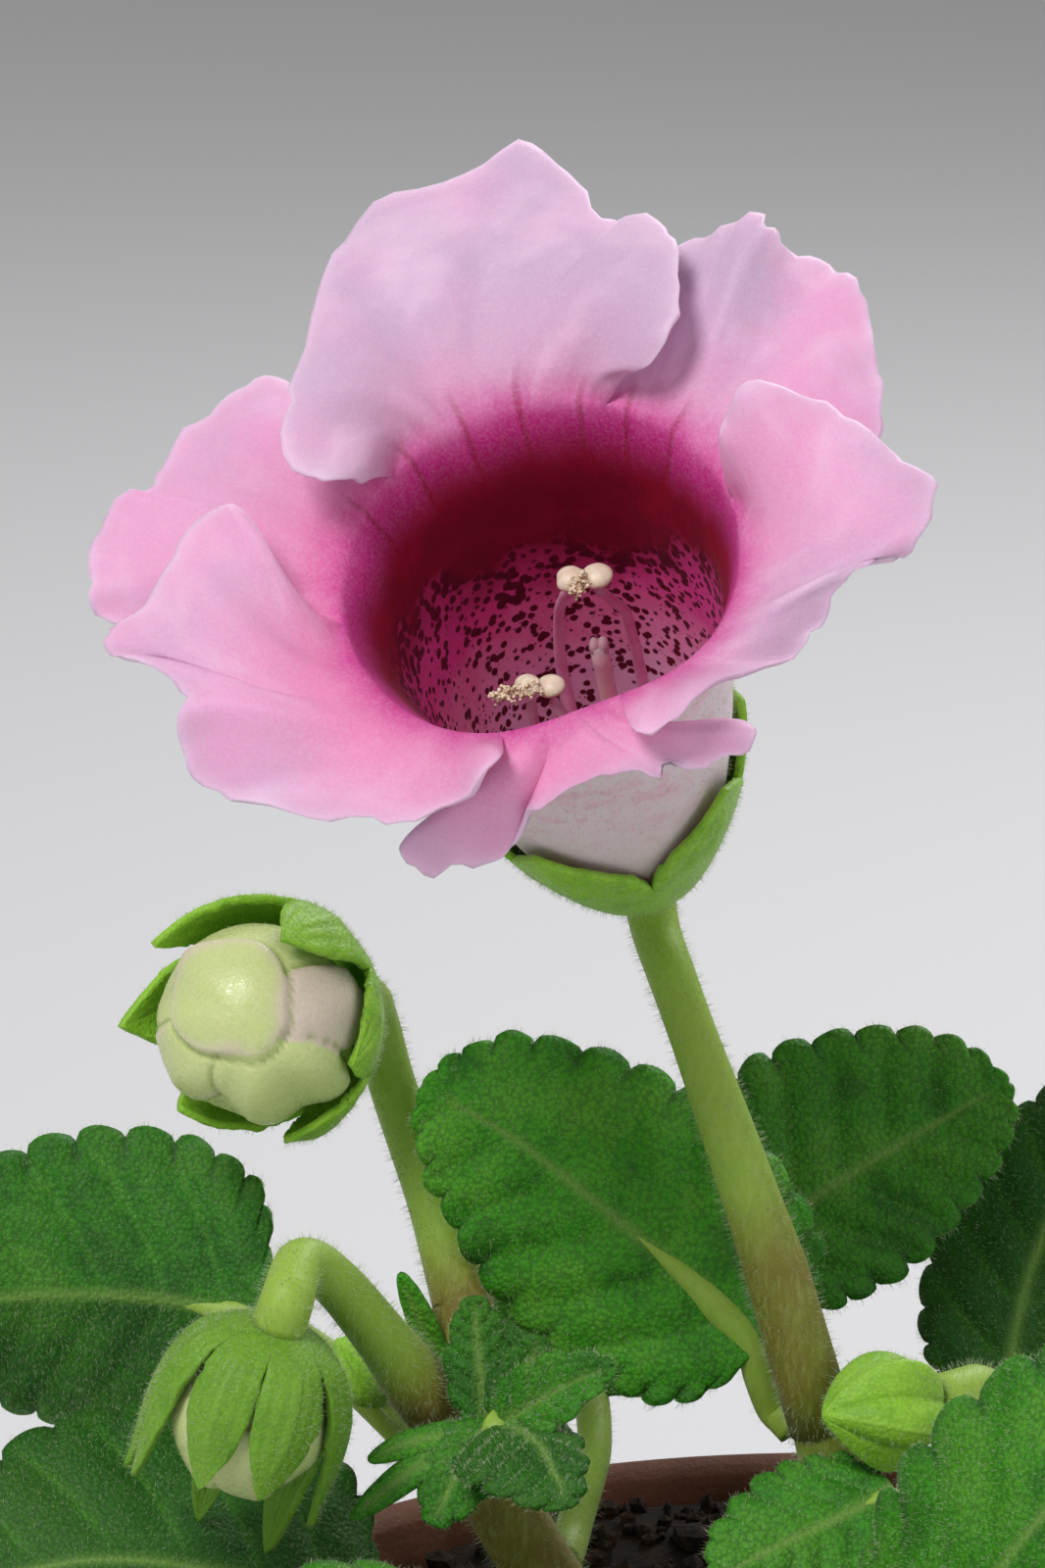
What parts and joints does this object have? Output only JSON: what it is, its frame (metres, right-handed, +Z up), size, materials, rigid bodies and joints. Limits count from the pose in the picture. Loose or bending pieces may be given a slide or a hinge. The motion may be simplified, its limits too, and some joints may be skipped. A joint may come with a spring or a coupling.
{
  "type": "potted gloxinia",
  "caption": "Potted gloxinia: a bell-shaped flower with wavy overlapping lobes, leafy buds, scalloped quilted leaves, shoots on a tuber, and a clay pot of soil.",
  "frame": {"origin": "centre of the pot's flat underside", "axes": "+Z up along the pot's axis, +X to the viewer's right, +Y away from the viewer who looks into the flower"},
  "size_m": [0.1627, 0.1408, 0.2694],
  "materials": {
    "clay": "matt fired clay",
    "soil": "crumbly potting soil",
    "tuber_skin": "corky skin",
    "stem": "soft green stalk with short hairs",
    "petal": "velvety petal with a satin sheen",
    "sepal": "soft green sepal with short hairs",
    "filament": "smooth, slightly translucent",
    "anther": "matt pollen sacs",
    "pistil": "smooth with a moist stigma",
    "bud_petal": "downy folded petals",
    "young_bud": "downy young green",
    "leaf": "velvety, quilted between sunken veins",
    "young_leaf": "velvety young leaf"
  },
  "bodies": {
    "root": {"pot": "clay", "soil": "soil", "tuber": "tuber_skin", "shoot_right": "stem", "shoot_left": "stem", "corolla": "petal", "calyx": "sepal", "stamens": "filament", "anthers_upper": "anther", "anthers_lower": "anther", "pistil": "pistil", "bud_1_petals": "bud_petal", "bud_1_calyx": "sepal", "bud_2_petals": "bud_petal", "bud_2_calyx": "sepal", "bud_3": "young_bud", "bud_4": "young_bud", "leaf_centre": "leaf", "leaf_back_right": "leaf", "leaf_far_right": "leaf", "leaf_front_right": "leaf", "leaf_low_right": "leaf", "leaf_left": "leaf", "leaf_low_left": "leaf", "leaf_low_front": "leaf", "leaf_front": "leaf", "leaf_back_left": "leaf", "side_shoot": "young_leaf"}
  },
  "joints": []
}
